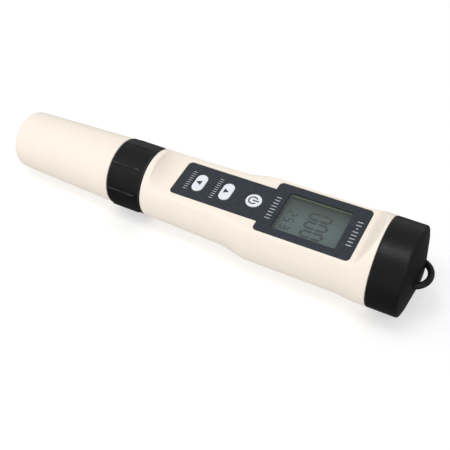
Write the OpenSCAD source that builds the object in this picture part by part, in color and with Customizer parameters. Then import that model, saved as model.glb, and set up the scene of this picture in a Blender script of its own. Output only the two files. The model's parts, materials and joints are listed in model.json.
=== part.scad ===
/* [Probe cap] */
// Length of the cream probe cap
cap_len = 51.5; // [48:0.5:54]
// Outer radius of the probe cap at its closed end
cap_tip_r = 12.95; // [12.9:0.05:13.5]
// Outer radius of the probe cap at its mouth
cap_mouth_r = 14.8; // [14.4:0.1:14.8]
// Wall of the probe cap
cap_wall = 1.7; // [1.4:0.1:1.8]
// Rounding of the closed end's edge
cap_edge_r = 2.2; // [2:0.2:3.2]

/* [Probe] */
// Length of the slotted guard and seat that stand out of the collar ring
probe_len = 40.75; // [38:0.25:41]
// Outer radius of the slotted guard
guard_r = 9; // [8.8:0.1:9.4]
// Width of a slot in the guard
slot_w = 7; // [6.4:0.2:7.2]

/* [Collar ring] */
// Length of the black collar ring
collar_len = 16.5; // [16:0.5:17]
// Outer radius of the collar ring between its ribs
collar_r = 15.0; // [14.9:0.05:15.1]
// Number of grip ribs around the collar ring
collar_ribs = 8; // [6:1:12]
// Height of a grip rib
rib_height = 0.4; // [0.2:0.05:0.6]

/* [Body shell] */
// Length of the cream body shell without its necks
body_len = 103.1; // [103:0.1:104]
// Outer radius just behind the collar ring
body_front_r = 15.15; // [15.1:0.05:15.3]
// Outer radius where the narrow part ends
body_waist_r = 16.0; // [15.9:0.05:16.2]
// Outer radius beside the display
body_wide_r = 18.25; // [18.2:0.05:18.5]
// Wall of the body shell
body_wall = 1.9; // [1.8:0.1:2]
// Height of the flat face above the pen's axis, at the label's front end
face_low_h = 9.0; // [8.9:0.1:9.2]
// Height of the flat face above the pen's axis, at the label's rear end
face_high_h = 10.6; // [10.5:0.1:10.8]

/* [Battery cap] */
// Length of the battery cap's round rim
rim_len = 12.8; // [12.4:0.2:13.2]
// Outer radius of the battery cap's rim
rim_r = 19.0; // [19:0.1:19.4]
// Length of the cone on the battery cap
cone_len = 3.3; // [3.1:0.05:3.5]
// Outer radius of the lanyard eye
eye_r = 8.0; // [7.8:0.1:8.2]
// Radius of the bar that the lanyard eye is made of
eye_bar_r = 1.35; // [1.2:0.05:1.4]

/* [Face label] */
// Distance from the body shell's front edge to the label
label_start = 12.3; // [12:0.1:12.4]
// Length of the label's narrow part, with the keys
label_narrow_len = 40.8; // [40.6:0.1:41]
// Length of the label's wide part, around the display
label_wide_len = 41; // [40.8:0.1:41.2]
// Width of the label's narrow part
label_narrow_w = 19; // [18.6:0.2:19.4]
// Width of the label's wide part
label_wide_w = 27.7; // [27.5:0.1:27.8]
// Length of the display opening
window_len = 27.5; // [27:0.1:28]
// Width of the display opening
window_w = 20; // [19.6:0.1:20.2]

/* [Keys] */
// Length of an oval key, across the pen
key_len = 9.3; // [9:0.1:9.6]
// Width of an oval key, along the pen
key_w = 4.9; // [4.7:0.1:5.1]
// Radius of the round power key
power_key_r = 3.4; // [3.2:0.1:3.6]
// Height of the keys above the label
key_proud = 0.3; // [0.2:0.05:0.3]

/* [Screw threads] */
// Pitch of both screw threads
thread_pitch = 3; // [3:0.1:3.2]
// Height of a thread ridge
ridge_h = 0.7; // [0.6:0.05:0.7]

/* [Batteries] */
// Radius of a button cell
cell_r = 5.8; // [5.7:0.05:5.8]
// Thickness of a button cell
cell_h = 5.4; // [5.3:0.05:5.4]
// Number of button cells
cell_count = 4; // [4:1:4]

/* [Hidden] */
$fn = 96;

// Colours
cream = [0.95, 0.92, 0.86];
black = [0.13, 0.14, 0.14];
slate = [0.23, 0.26, 0.29];
board_green = [0.1, 0.35, 0.2];
nickel = [0.75, 0.75, 0.77];
gold = [0.85, 0.7, 0.35];
rubber = [0.08, 0.08, 0.08];

// Gap that shows between two outer pieces, and a length that is larger than any piece
seam = 0.25;
far = 60;

// Stations along the pen's axis, measured from the probe cap's closed end
collar_x = cap_len + seam;
body_x = collar_x + collar_len + seam;
body_end_x = body_x + body_len;
rim_x = body_end_x + seam;
rim_end_x = rim_x + rim_len;
cone_end_x = rim_end_x + cone_len;
eye_set = 3.35;
eye_x = cone_end_x - eye_set;
overall_len = eye_x + eye_r;
axis_h = rim_r;
label_x = body_x + label_start;
label_step_x = label_x + label_narrow_len;
label_end_x = label_step_x + label_wide_len;

// The flat face: a plane that rises a little towards the battery end
face_tilt = atan((face_high_h - face_low_h) / (label_end_x - label_x));
face_rim = 0.15;
face_wall = 2.4;
function face_h(x) = face_low_h + (x - label_x) * tan(face_tilt);

// Hollow that leads down to the flat face behind the collar ring
scoop_r = 7.2;
scoop_x = label_x - 2.2;

// Face pieces, along the pen and in depth below the label's surface
window_mid_x = label_step_x + 6.3 + window_len / 2;
key_mode_x = label_x + 9.7;
key_hold_x = label_x + 22.4;
key_power_x = label_x + 34.95;
label_t = 0.45;
pane_t = 1;
pane_margin = 1.25;
shell_inside = face_wall - face_rim;
gasket_t = 0.5;
glass_top = shell_inside + gasket_t;
glass_t = 1.6;
backlight_t = 0.8;
board_top = 8.4;
board_t = 1.6;
switch_top = 6.0;
plunger_top = 5.2;
key_gap = 0.4;
key_flange = 0.7;

// Shell inside: front bore, body bore and rear bore
front_bore_r = 10.8;
rear_bore_r = 14.6;
front_neck_r = 12.6;
rear_neck_r = 16.3;
rear_neck_len = 8.9;
rear_neck_end_x = body_end_x + rear_neck_len;
flare_x = body_x + 36.5;
flare_end_x = flare_x + 14;
swell_end_x = body_end_x - 3.6;
swell_x = swell_end_x - 11;
bore_start_x = body_x + 4;

// Threads: clearance of a ridge from the mating root, and how deep its foot is sunk
ridge_clear = 0.2;
ridge_sink = 0.3;
ridge_root_w = 1.3;
ridge_tip_w = 0.6;
ridge_steps = 24;
ridge_sections = 42;
ridge_fade = 4;
ridge_start = 2;

// Button cells lie in one row below the circuit board
cell_gap = 0.1;
cells_len = cell_count * (cell_h + cell_gap);
cells_drop = 6.8;
tray_end_x = body_end_x + 0.6;
tray_wall = 1;
bulkhead_t = 1.4;
contact_t = 0.4;
cells_x = tray_end_x - bulkhead_t - 0.8 - cells_len;
spring_wire_r = 0.35;
spring_room = 3.7;
front_contact_x = cells_x - spring_room - contact_t;
rear_contact_x = cells_x + cells_len + 0.1;
tray_x = front_contact_x - tray_wall;

// Probe parts
lip_r = 12.35;
lip_len = 2;
seat_r = 12.15;
flange_r = 13.3;
flange_x = collar_x + lip_len + 0.2;
flange_end_x = flange_x + 2.65;
front_neck_x = flange_end_x + 0.3;
spigot_r = 10.6;
spigot_end_x = collar_x + 11.75;
guard_x = collar_x - probe_len;
guard_inner_r = guard_r - 1.6;
bulkhead_x = guard_x + 22;
chamber_x = bulkhead_x + 4;
electrode_x = guard_x + 7.5;
cap_seal_x = collar_x - 3.45;
spigot_seal_x = collar_x + 7.65;
groove_w = 2.2;
cap_groove_r = 10.35;
spigot_groove_r = 9.25;
pin_offset = 4.6;
pin_spots = [for (a = [45 : 90 : 315]) [5 * cos(a), 5 * sin(a)]];

// Smooth step from 0 to 1, for the body's blends
function ease(t) = let (u = max(0, min(1, t))) u * u * (3 - 2 * u);
function mix(a, b, t) = a + (b - a) * t;

// Outer radius of the body shell at a station
function body_r(x) =
    mix(body_front_r, body_waist_r, min(1, (x - body_x) / (flare_x - body_x)))
    + (body_wide_r - body_waist_r) * ease((x - flare_x) / (flare_end_x - flare_x))
    + (rim_r - body_wide_r) * ease((x - swell_x) / (swell_end_x - swell_x));

// Points of an arc in the (radius, station) plane
function arc(cr, cx, r, from, to, steps = 8) =
    [for (i = [0 : steps]) let (a = mix(from, to, i / steps)) [cr + r * cos(a), cx + r * sin(a)]];

// Places children with their Z axis along the pen, at a station
module on_axis(x) {
    translate([x - overall_len / 2, 0, axis_h]) rotate([0, 90, 0]) children();
}

// Places children on the flat face, at a station, with Z out of the face
module on_face(x, depth = 0) {
    translate([-overall_len / 2, 0, axis_h])
        translate([label_x, 0, face_low_h])
            rotate([0, -face_tilt, 0])
                translate([x - label_x, 0, -depth])
                    children();
}

// Turns a (radius, station) outline about the pen's axis
module turned(points) {
    on_axis(0) rotate_extrude() polygon(points);
}

// A rounded bar of rectangle and corner circles, centred
module rounded_outline(len, w, r) {
    square([len - 2 * r, w], center = true);
    square([len, w - 2 * r], center = true);
    for (sx = [-1, 1], sy = [-1, 1])
        translate([sx * (len / 2 - r), sy * (w / 2 - r)]) circle(r);
}

module oval_outline(len, w) {
    square([w, len - w], center = true);
    for (s = [-1, 1]) translate([0, s * (len - w) / 2]) circle(w / 2);
}

// O-ring of section radius r, on a centre line of radius ring_r, at a station
module o_ring(x, ring_r, r) {
    on_axis(x) rotate_extrude() translate([ring_r, 0]) circle(r, $fn = 32);
}

// Helix of one section: each point is a radius step and an axial step
module helix(points, sections, sides) {
    polyhedron(points, concat(
        [[for (j = [sides - 1 : -1 : 0]) j]],
        [for (i = [0 : sections - 1], j = [0 : sides - 1])
            [i * sides + j, (i + 1) * sides + (j + 1) % sides, (i + 1) * sides + j]],
        [for (i = [0 : sections - 1], j = [0 : sides - 1])
            [i * sides + j, i * sides + (j + 1) % sides, (i + 1) * sides + (j + 1) % sides]],
        [[for (j = [0 : sides - 1]) sections * sides + j]]));
}

// Thread ridge on a wall of radius r: side is 1 on a neck and -1 inside a ring.
// Both ends fade into the wall. A ring's ridge starts half a turn away from its neck's.
module thread_ridge(r, side) {
    profile = [for (p = [[0, -ridge_root_w], [1, -ridge_tip_w], [1, ridge_tip_w], [0, ridge_root_w]])
        [p[0], side * p[1] / 2]];
    points = [for (i = [0 : ridge_sections])
        let (a = 360 * i / ridge_steps, f = min(1, i / ridge_fade, (ridge_sections - i) / ridge_fade))
        for (p = profile)
            let (rise = p[0] == 0 ? -ridge_sink : ridge_h * f - ridge_sink * (1 - f) / 2)
            [(r + side * rise) * cos(a), (r + side * rise) * sin(a), thread_pitch * a / 360 + p[1]]];
    helix(points, ridge_sections, len(profile));
}

module probe_cap() {
    slope = (cap_mouth_r - cap_tip_r) / cap_len;
    rim_inner_r = lip_r;
    rim_depth = 7;
    color(cream) turned(concat(
        [[0, 0]],
        arc(cap_tip_r - cap_edge_r, cap_edge_r, cap_edge_r, -90, -2),
        arc(cap_mouth_r - 0.4, cap_len - 0.4, 0.4, 0, 90, 4),
        [[rim_inner_r + 0.4, cap_len], [rim_inner_r, cap_len - 0.4], [rim_inner_r, cap_len - rim_depth],
            [cap_mouth_r - slope * rim_depth - cap_wall, cap_len - rim_depth - 1]],
        arc(cap_tip_r - cap_edge_r, cap_edge_r, cap_edge_r - cap_wall, 0, -90),
        [[0, cap_wall]]));
}

module cap_seal() {
    color(rubber) o_ring(cap_seal_x, cap_groove_r + 0.98, 0.95);
}

module probe_housing() {
    slot_len = 16;
    bevel = 0.6;
    half_groove = groove_w / 2;
    color(black) difference() {
        turned([
            [0, bulkhead_x], [guard_inner_r, bulkhead_x], [guard_inner_r, guard_x + bevel],
            [guard_inner_r + bevel, guard_x], [guard_r - bevel, guard_x], [guard_r, guard_x + bevel],
            [guard_r, collar_x - 10.7], [seat_r - bevel, collar_x - 8.3], [seat_r, collar_x - 7.6],
            [seat_r, cap_seal_x - half_groove], [cap_groove_r, cap_seal_x - half_groove],
            [cap_groove_r, cap_seal_x + half_groove], [seat_r, cap_seal_x + half_groove],
            [seat_r, flange_x], [flange_r, flange_x], [flange_r, flange_end_x], [spigot_r, flange_end_x],
            [spigot_r, spigot_seal_x - half_groove], [spigot_groove_r, spigot_seal_x - half_groove],
            [spigot_groove_r, spigot_seal_x + half_groove], [spigot_r, spigot_seal_x + half_groove],
            [spigot_r, spigot_end_x - bevel], [spigot_r - bevel, spigot_end_x], [0, spigot_end_x]
        ]);
        // slots that let the liquid into the guard
        for (turn = [0, 90])
            on_axis(guard_x + 3 + slot_len / 2) rotate([0, 0, turn])
                cube([far, slot_w, slot_len], center = true);
        // chamber behind the bulkhead
        on_axis(chamber_x) cylinder(r = 8, h = spigot_end_x - 2.5 - chamber_x);
        // seats of the electrode, the temperature pin and the reference junction
        on_axis(bulkhead_x - 1) cylinder(r = 2.25, h = 6);
        for (s = [-1, 1]) on_axis(bulkhead_x - 1) translate([0, s * pin_offset]) cylinder(r = 1.3, h = 6);
        // seats of the contact pins
        for (p = pin_spots) on_axis(spigot_end_x - 3) translate(p) cylinder(r = 0.5, h = 4);
    }
}

module glass_electrode() {
    color([0.8, 0.9, 0.95, 0.5]) on_axis(electrode_x) difference() {
        union() {
            sphere(3.3);
            cylinder(r = 2.2, h = 20);
        }
        sphere(2.8);
        cylinder(r = 1.6, h = 18.8);
    }
}

module electrode_wire() {
    color(nickel) on_axis(electrode_x - 1) {
        cylinder(r = 0.3, h = 19.8);
        translate([0, 0, -0.5]) sphere(0.6);
    }
}

module reference_junction() {
    color([0.93, 0.92, 0.88]) on_axis(bulkhead_x - 3) translate([0, -pin_offset]) cylinder(r = 1.25, h = 8);
}

module temperature_pin() {
    color(nickel) on_axis(guard_x + 9) translate([0, pin_offset]) {
        sphere(1.25);
        cylinder(r = 1.25, h = 19);
    }
}

module contact_pins() {
    color(gold) for (p = pin_spots) on_axis(spigot_end_x - 2) translate(p) cylinder(r = 0.45, h = 7);
}

module spigot_seal() {
    color(rubber) o_ring(spigot_seal_x, spigot_groove_r + 0.73, 0.72);
}

module collar_ring() {
    bore_r = front_neck_r + ridge_h + ridge_clear;
    rib_len = collar_len - 3.1;
    rib_w = 0.8;
    rib_root = 0.6;
    rib_turn = 164;
    color(black) {
        turned(concat(
            [[lip_r, collar_x + 0.3], [lip_r + 0.3, collar_x]],
            arc(collar_r - 0.5, collar_x + 0.5, 0.5, -90, 0, 4),
            arc(collar_r - 0.3, collar_x + collar_len - 0.3, 0.3, 0, 90, 4),
            [[bore_r + 0.3, collar_x + collar_len], [bore_r, collar_x + collar_len - 0.3],
                [bore_r, collar_x + lip_len], [lip_r, collar_x + lip_len]]));
        on_axis(front_neck_x + ridge_start) rotate([0, 0, 180]) thread_ridge(bore_r, -1);
        for (i = [0 : collar_ribs - 1])
            on_axis(collar_x + 0.7) rotate([0, 0, rib_turn + i * 360 / collar_ribs])
                translate([collar_r - rib_root, -rib_w / 2, 0]) cube([rib_root + rib_height, rib_w, rib_len]);
    }
}

// Side view of everything above the flat face, a distance inside the outer skin
module above_face(inset, x0, x1) {
    ramp_angle = 53;
    toe_x = label_end_x + 1.9 + inset * tan(ramp_angle / 2);
    low = inset - face_rim;
    translate([-overall_len / 2, 0, axis_h]) rotate([90, 0, 0]) linear_extrude(far, center = true)
        polygon(concat(
            [[x0, far], [x0, face_h(x0) - low + (inset > 0 ? 0 : scoop_r)]],
            inset > 0 ? [] : arc(scoop_x, face_h(scoop_x) - low + scoop_r, scoop_r, 182, 268, 12),
            [[toe_x, face_h(toe_x) - low], [x1, face_h(toe_x) - low + (x1 - toe_x) * tan(ramp_angle)],
                [x1, far]]));
}

module body_outside() {
    steps = 8;
    turned(concat(
        [[0, body_x]],
        arc(body_front_r - 0.5, body_x + 0.5, 0.5, -90, 0, 4),
        [for (i = [0 : steps]) let (x = mix(flare_x, flare_end_x, i / steps)) [body_r(x), x]],
        [for (i = [0 : steps]) let (x = mix(swell_x, swell_end_x, i / steps)) [body_r(x), x]],
        arc(rim_r - 0.4, body_end_x - 0.4, 0.4, 0, 90, 4),
        [[0, body_end_x]]));
}

module body_inside() {
    difference() {
        turned(concat(
            [[0, bore_start_x - 3], [front_bore_r, bore_start_x - 3]],
            [[body_r(bore_start_x) - body_wall, bore_start_x], [body_r(flare_x) - body_wall, flare_x]],
            [[body_wide_r - body_wall, flare_end_x], [body_wide_r - body_wall, body_end_x - 4],
                [rear_bore_r, body_end_x - 1.5], [0, body_end_x - 1.5]]));
        above_face(face_wall, bore_start_x - 4, body_end_x);
    }
}

module body_shell() {
    pane_seat_t = label_t + pane_t;
    seat_cut_t = 1.5;
    seat_gap = 0.2;
    color(cream) difference() {
        union() {
            difference() {
                body_outside();
                above_face(0, scoop_x - scoop_r, body_end_x + 1);
            }
            on_axis(front_neck_x) cylinder(r = front_neck_r, h = body_x - front_neck_x + 1);
            on_axis(body_end_x - 1) cylinder(r = rear_neck_r, h = rear_neck_len + 1);
            on_axis(front_neck_x + ridge_start) thread_ridge(front_neck_r, 1);
            on_axis(body_end_x + ridge_start) thread_ridge(rear_neck_r, 1);
        }
        body_inside();
        on_axis(front_neck_x - 1) cylinder(r = front_bore_r, h = bore_start_x - front_neck_x);
        on_axis(body_end_x - 2) cylinder(r = rear_bore_r, h = rear_neck_len + 3);
        // recess of the label, seat of the pane, and the openings below them
        on_face(0, label_t) linear_extrude(far) offset_label(0.1);
        on_face(window_mid_x, pane_seat_t - seat_cut_t / 2) cube([
            window_len + 2 * pane_margin + seat_gap, window_w + 2 * pane_margin + seat_gap, seat_cut_t
        ], center = true);
        on_face(window_mid_x, 3) cube([window_len, window_w, 6], center = true);
        on_face(key_mode_x, 6) linear_extrude(far) oval_outline(key_len + key_gap, key_w + key_gap);
        on_face(key_hold_x, 6) linear_extrude(far) oval_outline(key_len + key_gap, key_w + key_gap);
        on_face(key_power_x, 6) cylinder(r = power_key_r + key_gap / 2, h = far);
    }
}

// The label's outline, in stations along X, grown by a margin
module offset_label(grow) {
    corner = 2;
    narrow_mid = label_x + label_narrow_len / 2;
    wide_mid = label_step_x + label_wide_len / 2;
    translate([narrow_mid + corner / 2, 0])
        rounded_outline(label_narrow_len + corner + 2 * grow, label_narrow_w + 2 * grow, corner);
    translate([wide_mid, 0])
        rounded_outline(label_wide_len + 2 * grow, label_wide_w + 2 * grow, corner);
}

module face_label() {
    color(slate) on_face(0, label_t) linear_extrude(label_t) difference() {
        offset_label(0);
        translate([window_mid_x, 0]) rounded_outline(window_len, window_w, 0.6);
        for (x = [key_mode_x, key_hold_x]) translate([x, 0]) oval_outline(key_len + key_gap, key_w + key_gap);
        translate([key_power_x, 0]) circle(power_key_r + key_gap / 2);
    }
}

module display_window() {
    color([0.8, 0.9, 0.9, 0.3]) on_face(window_mid_x, label_t + pane_t / 2)
        cube([window_len + 2 * pane_margin, window_w + 2 * pane_margin, pane_t], center = true);
}

module frame_piece(x, top, t, outer, inner) {
    on_face(x, top + t) linear_extrude(t) difference() {
        square(outer, center = true);
        square(inner, center = true);
    }
}

// Flat seal on the display's glass, with an upright lip that lines the opening below the pane
module window_gasket() {
    lip_t = 0.4;
    lip_gap = 0.05;
    lip_top = label_t + pane_t + lip_gap;
    inner = [window_len - 2 * (lip_t + lip_gap), window_w - 2 * (lip_t + lip_gap)];
    color(rubber) {
        frame_piece(window_mid_x, shell_inside, gasket_t, [window_len + 4, window_w + 3], inner);
        frame_piece(window_mid_x, lip_top, glass_top - lip_top,
            [window_len - 2 * lip_gap, window_w - 2 * lip_gap], inner);
    }
}

module lcd_glass() {
    color([0.42, 0.5, 0.48]) on_face(window_mid_x, glass_top + glass_t / 2)
        cube([window_len + 5, window_w + 4, glass_t], center = true);
}

module lcd_backlight() {
    color([0.85, 0.9, 0.85]) on_face(window_mid_x, glass_top + glass_t + backlight_t / 2)
        cube([window_len, window_w + 3, backlight_t], center = true);
}

holder_len = window_len + 13;
post_spots = [for (sx = [-1, 1], sy = [-1, 1]) [sx * (holder_len / 2 - 2), sy * 8.6]];

module lcd_holder() {
    holder_wall = 0.8;
    top = shell_inside + 0.2;
    tall = board_top - top;
    color([0.9, 0.9, 0.88]) difference() {
        union() {
            frame_piece(window_mid_x, top, tall, [window_len + 5.4 + 2 * holder_wall, window_w + 6],
                [window_len + 5.4, window_w + 4.4]);
            for (sx = [-1, 1]) on_face(window_mid_x + sx * (holder_len / 2 - 2), board_top - 1.5)
                cube([4, 21, 3], center = true);
        }
        for (p = post_spots) on_face(window_mid_x, board_top + 1) translate(p) cylinder(r = 0.85, h = 3.6);
    }
}

module zebra_strips() {
    strip_top = glass_top + glass_t;
    color([0.35, 0.3, 0.4]) for (s = [-1, 1])
        on_face(window_mid_x + s * (window_len / 2 + 1.4), (strip_top + board_top) / 2)
            cube([1.8, window_w, board_top - strip_top], center = true);
}

module circuit_board() {
    front_x = label_x + 2.2;
    wide_x = flare_end_x + 1;
    rear_x = body_end_x - 6.6;
    color(board_green) difference() {
        union() {
            on_face((front_x + rear_x) / 2, board_top + board_t / 2)
                cube([rear_x - front_x, 19, board_t], center = true);
            on_face((wide_x + rear_x) / 2, board_top + board_t / 2)
                cube([rear_x - wide_x, 24, board_t], center = true);
        }
        for (p = post_spots)
            on_face(window_mid_x, board_top + board_t + 1) translate(p) cylinder(r = 1.1, h = 4);
    }
}

module board_screws() {
    head_top = board_top + board_t;
    color(nickel) for (p = post_spots) on_face(window_mid_x, head_top + 0.9) translate(p) difference() {
        union() {
            cylinder(r = 1.7, h = 0.9);
            cylinder(r = 0.8, h = 5);
        }
        for (turn = [0, 90]) rotate([0, 0, turn]) cube([2.2, 0.4, 1], center = true);
    }
}

module chip(x, len, w, t) {
    color(black) on_face(x, board_top + board_t + t / 2) cube([len, w, t], center = true);
}

module processor_chip() {
    chip(key_power_x - 2.75, 8, 8, 1.2);
}

module amplifier_chip() {
    chip(key_mode_x + 6.5, 5, 4, 1.4);
}

module quartz_crystal() {
    crystal_t = 3.2;
    color(nickel) on_face(key_hold_x + 1.3, board_top + board_t + crystal_t)
        linear_extrude(crystal_t) oval_outline(9, 3.6);
}

module tact_switches() {
    color(black) for (x = [key_mode_x, key_hold_x, key_power_x])
        on_face(x, board_top) difference() {
            translate([-3, -3, 0]) cube([6, 6, board_top - switch_top]);
            translate([0, 0, 1]) cylinder(r = 1.75, h = 4);
        }
}

module switch_plunger(x) {
    foot = 0.9;
    color([0.8, 0.75, 0.65]) on_face(x, switch_top + foot)
        cylinder(r = 1.6, h = switch_top + foot - plunger_top);
}

module key_body(x) {
    flange_top = shell_inside + 0.2;
    color([0.9, 0.91, 0.93]) {
        on_face(x, flange_top) linear_extrude(flange_top + key_proud) children(0);
        on_face(x, flange_top + key_flange) linear_extrude(key_flange) children(1);
        on_face(x, plunger_top) cylinder(r = 1.5, h = plunger_top - flange_top);
    }
}

module key_mode() {
    key_body(key_mode_x) {
        oval_outline(key_len, key_w);
        oval_outline(key_len + 2 * key_flange, key_w + 2 * key_flange);
    }
}

module key_hold() {
    key_body(key_hold_x) {
        oval_outline(key_len, key_w);
        oval_outline(key_len + 2 * key_flange, key_w + 2 * key_flange);
    }
}

module key_power() {
    key_body(key_power_x) {
        circle(power_key_r);
        circle(power_key_r + key_flange);
    }
}

module mode_switch_plunger() {
    switch_plunger(key_mode_x);
}

module hold_switch_plunger() {
    switch_plunger(key_hold_x);
}

module power_switch_plunger() {
    switch_plunger(key_power_x);
}

// Places children on the row of button cells, at a station
module on_cells(x) {
    on_axis(x) translate([cells_drop, 0]) children();
}

module battery_tray() {
    trough_r = cell_r + 1.2;
    open_x = tray_end_x - bulkhead_t;
    color([0.9, 0.9, 0.88]) difference() {
        union() {
            on_cells(tray_x) cylinder(r = trough_r, h = tray_end_x - tray_x);
            on_axis(open_x) cylinder(r = rear_bore_r - 0.15, h = bulkhead_t);
        }
        on_cells(tray_x + tray_wall) cylinder(r = cell_r + 0.15, h = open_x - tray_x - tray_wall);
        on_cells(tray_x - 1) translate([-far - 3, -far / 2, 0]) cube([far, far, open_x - tray_x + 1]);
        // finger notch in the bulkhead
        on_axis(open_x - 1) translate([-rear_bore_r - 1, 0]) cylinder(r = 6, h = 4);
    }
}

module button_cells() {
    color(nickel) for (i = [0 : cell_count - 1])
        on_cells(cells_x + i * (cell_h + cell_gap)) rotate_extrude() polygon(concat(
            [[0, 0], [cell_r - 0.9, 0], [cell_r - 0.9, 0.5]],
            arc(cell_r - 0.4, 0.9, 0.4, -90, 0, 4),
            arc(cell_r - 0.4, cell_h - 0.4, 0.4, 0, 90, 4),
            [[0, cell_h]]));
}

module battery_spring() {
    turns = 2;
    steps = 16;
    sides = 6;
    spring_len = spring_room - 2 * spring_wire_r - 0.1;
    base_r = 4.2;
    tip_r = 2;
    points = [for (i = [0 : turns * steps])
        let (t = i / (turns * steps), a = 360 * i / steps, r = mix(base_r, tip_r, t))
        for (j = [0 : sides - 1])
            let (b = 360 * j / sides, rad = r + spring_wire_r * cos(b))
            [rad * cos(a), rad * sin(a), spring_len * t + spring_wire_r * sin(b)]];
    color(nickel) on_cells(cells_x - spring_room + spring_wire_r + 0.05)
        helix(points, turns * steps, sides);
}

contact_leg_len = 7;
contact_top = 6.2;

// Contact plate behind the cells, with a leg that runs under the board; way is 1 towards the battery cap
module contact_plate(x, way) {
    on_cells(x) {
        cylinder(r = 4.6, h = contact_t);
        translate([-contact_top, -2, 0]) cube([contact_top, 4, contact_t]);
        translate([-contact_top, -2, way > 0 ? 0 : contact_t - contact_leg_len])
            cube([contact_t, 4, contact_leg_len]);
    }
}

module battery_contacts() {
    color(nickel) {
        contact_plate(front_contact_x, 1);
        contact_plate(rear_contact_x, -1);
    }
}

module battery_terminals() {
    clip_w = 3;
    foot_t = 0.3;
    leg_z = axis_h - cells_drop + contact_top + 0.02;
    color(gold) for (x = [front_contact_x + contact_leg_len - 1.5, rear_contact_x - contact_leg_len + 1.9]) {
        under = face_h(x) - board_top - board_t;
        on_face(x, board_top + board_t + foot_t / 2) cube([3, clip_w, foot_t], center = true);
        translate([x - overall_len / 2, -clip_w / 2, leg_z])
            cube([foot_t, clip_w, axis_h + under - 0.1 - leg_z]);
    }
}

module probe_socket() {
    color(black) on_axis(spigot_end_x + 1.5) difference() {
        cylinder(r = front_bore_r - 0.05, h = 5);
        for (p = pin_spots) translate([p[0], p[1], -1]) cylinder(r = 0.6, h = 5);
    }
}

module ribbon_cable() {
    ribbon_x = spigot_end_x + 6.6;
    ribbon_len = 17;
    color([0.8, 0.75, 0.65]) on_face(ribbon_x + ribbon_len / 2, board_top + board_t + 0.15)
        cube([ribbon_len, 8, 0.3], center = true);
}

module battery_cap_seal() {
    color(rubber) on_axis(rear_neck_end_x + 0.2) difference() {
        cylinder(r = rear_neck_r, h = 0.8);
        translate([0, 0, -1]) cylinder(r = rear_bore_r + 0.1, h = 3);
    }
}

module battery_cap() {
    bore_r = rear_neck_r + ridge_h + ridge_clear;
    step_x = rear_neck_end_x + 1.05;
    cone_flat_r = 4;
    cone_wall = 2;
    cone_slope = cone_len / (rim_r - cone_flat_r);
    cup_r = 13.5;
    cup_x = cone_end_x - (cup_r - cone_flat_r) * cone_slope - cone_wall;
    cup_end_x = cone_end_x - cone_wall;
    ring_r = eye_r - eye_bar_r;
    color(black) {
        difference() {
            union() {
                turned(concat(
                    [[0, rim_x]],
                    arc(rim_r - 0.3, rim_x + 0.3, 0.3, -90, 0, 4),
                    arc(rim_r - 0.7, rim_end_x - 0.7, 0.7, 0, 76, 6),
                    [[cone_flat_r + 0.3, cone_end_x - 0.1], [cone_flat_r - 0.5, cone_end_x],
                        [0, cone_end_x]]));
                translate([eye_x - overall_len / 2, 0, axis_h]) rotate_extrude()
                    translate([ring_r, 0]) circle(eye_bar_r, $fn = 48);
            }
            turned([
                [0, rim_x - 1], [bore_r + 1.3, rim_x - 1], [bore_r, rim_x + 0.3], [bore_r, step_x],
                [cup_r, step_x], [cup_r, cup_x], [cone_flat_r, cup_end_x], [0, cup_end_x]]);
        }
        on_axis(body_end_x + ridge_start) rotate([0, 0, 180]) thread_ridge(bore_r, -1);
    }
}

probe_cap();
cap_seal();
probe_housing();
glass_electrode();
electrode_wire();
reference_junction();
temperature_pin();
contact_pins();
spigot_seal();
collar_ring();
body_shell();
face_label();
display_window();
window_gasket();
lcd_glass();
lcd_backlight();
lcd_holder();
zebra_strips();
circuit_board();
board_screws();
processor_chip();
amplifier_chip();
quartz_crystal();
tact_switches();
key_mode();
key_hold();
key_power();
mode_switch_plunger();
hold_switch_plunger();
power_switch_plunger();
battery_tray();
button_cells();
battery_spring();
battery_contacts();
battery_terminals();
probe_socket();
ribbon_cable();
battery_cap_seal();
battery_cap();
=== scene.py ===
import json
import math

import bmesh
import bpy
import numpy as np
from mathutils import Matrix, Vector


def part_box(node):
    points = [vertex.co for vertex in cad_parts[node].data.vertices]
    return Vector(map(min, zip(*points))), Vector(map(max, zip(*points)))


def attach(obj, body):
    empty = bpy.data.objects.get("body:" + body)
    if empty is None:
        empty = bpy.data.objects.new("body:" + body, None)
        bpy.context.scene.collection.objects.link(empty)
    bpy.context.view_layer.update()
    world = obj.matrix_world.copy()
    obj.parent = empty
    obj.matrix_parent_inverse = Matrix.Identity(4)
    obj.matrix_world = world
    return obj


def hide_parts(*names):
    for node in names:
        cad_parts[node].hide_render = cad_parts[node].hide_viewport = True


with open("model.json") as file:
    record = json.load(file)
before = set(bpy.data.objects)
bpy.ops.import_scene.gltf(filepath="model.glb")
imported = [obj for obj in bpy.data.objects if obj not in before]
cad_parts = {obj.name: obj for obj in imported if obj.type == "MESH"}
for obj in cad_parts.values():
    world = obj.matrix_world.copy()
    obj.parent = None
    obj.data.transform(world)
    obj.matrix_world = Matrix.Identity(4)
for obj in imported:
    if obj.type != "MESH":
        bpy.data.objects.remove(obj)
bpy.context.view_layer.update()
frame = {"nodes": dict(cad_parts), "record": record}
scene = bpy.context.scene

MM = 0.001

# ---------------------------------------------------------------- stations
# Stations run along the pen's axis in millimetres, and the collar ring starts at COLLAR_X.
COLLAR_X = 50.75
ORIGIN_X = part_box("collar_ring")[0].x - COLLAR_X * MM
rim_low, rim_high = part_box("battery_cap")
AXIS_Z = (rim_low.z + rim_high.z) / 2


def span(node):
    """Stations of a CAD node's two ends."""
    return [(corner.x - ORIGIN_X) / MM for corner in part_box(node)]


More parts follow.
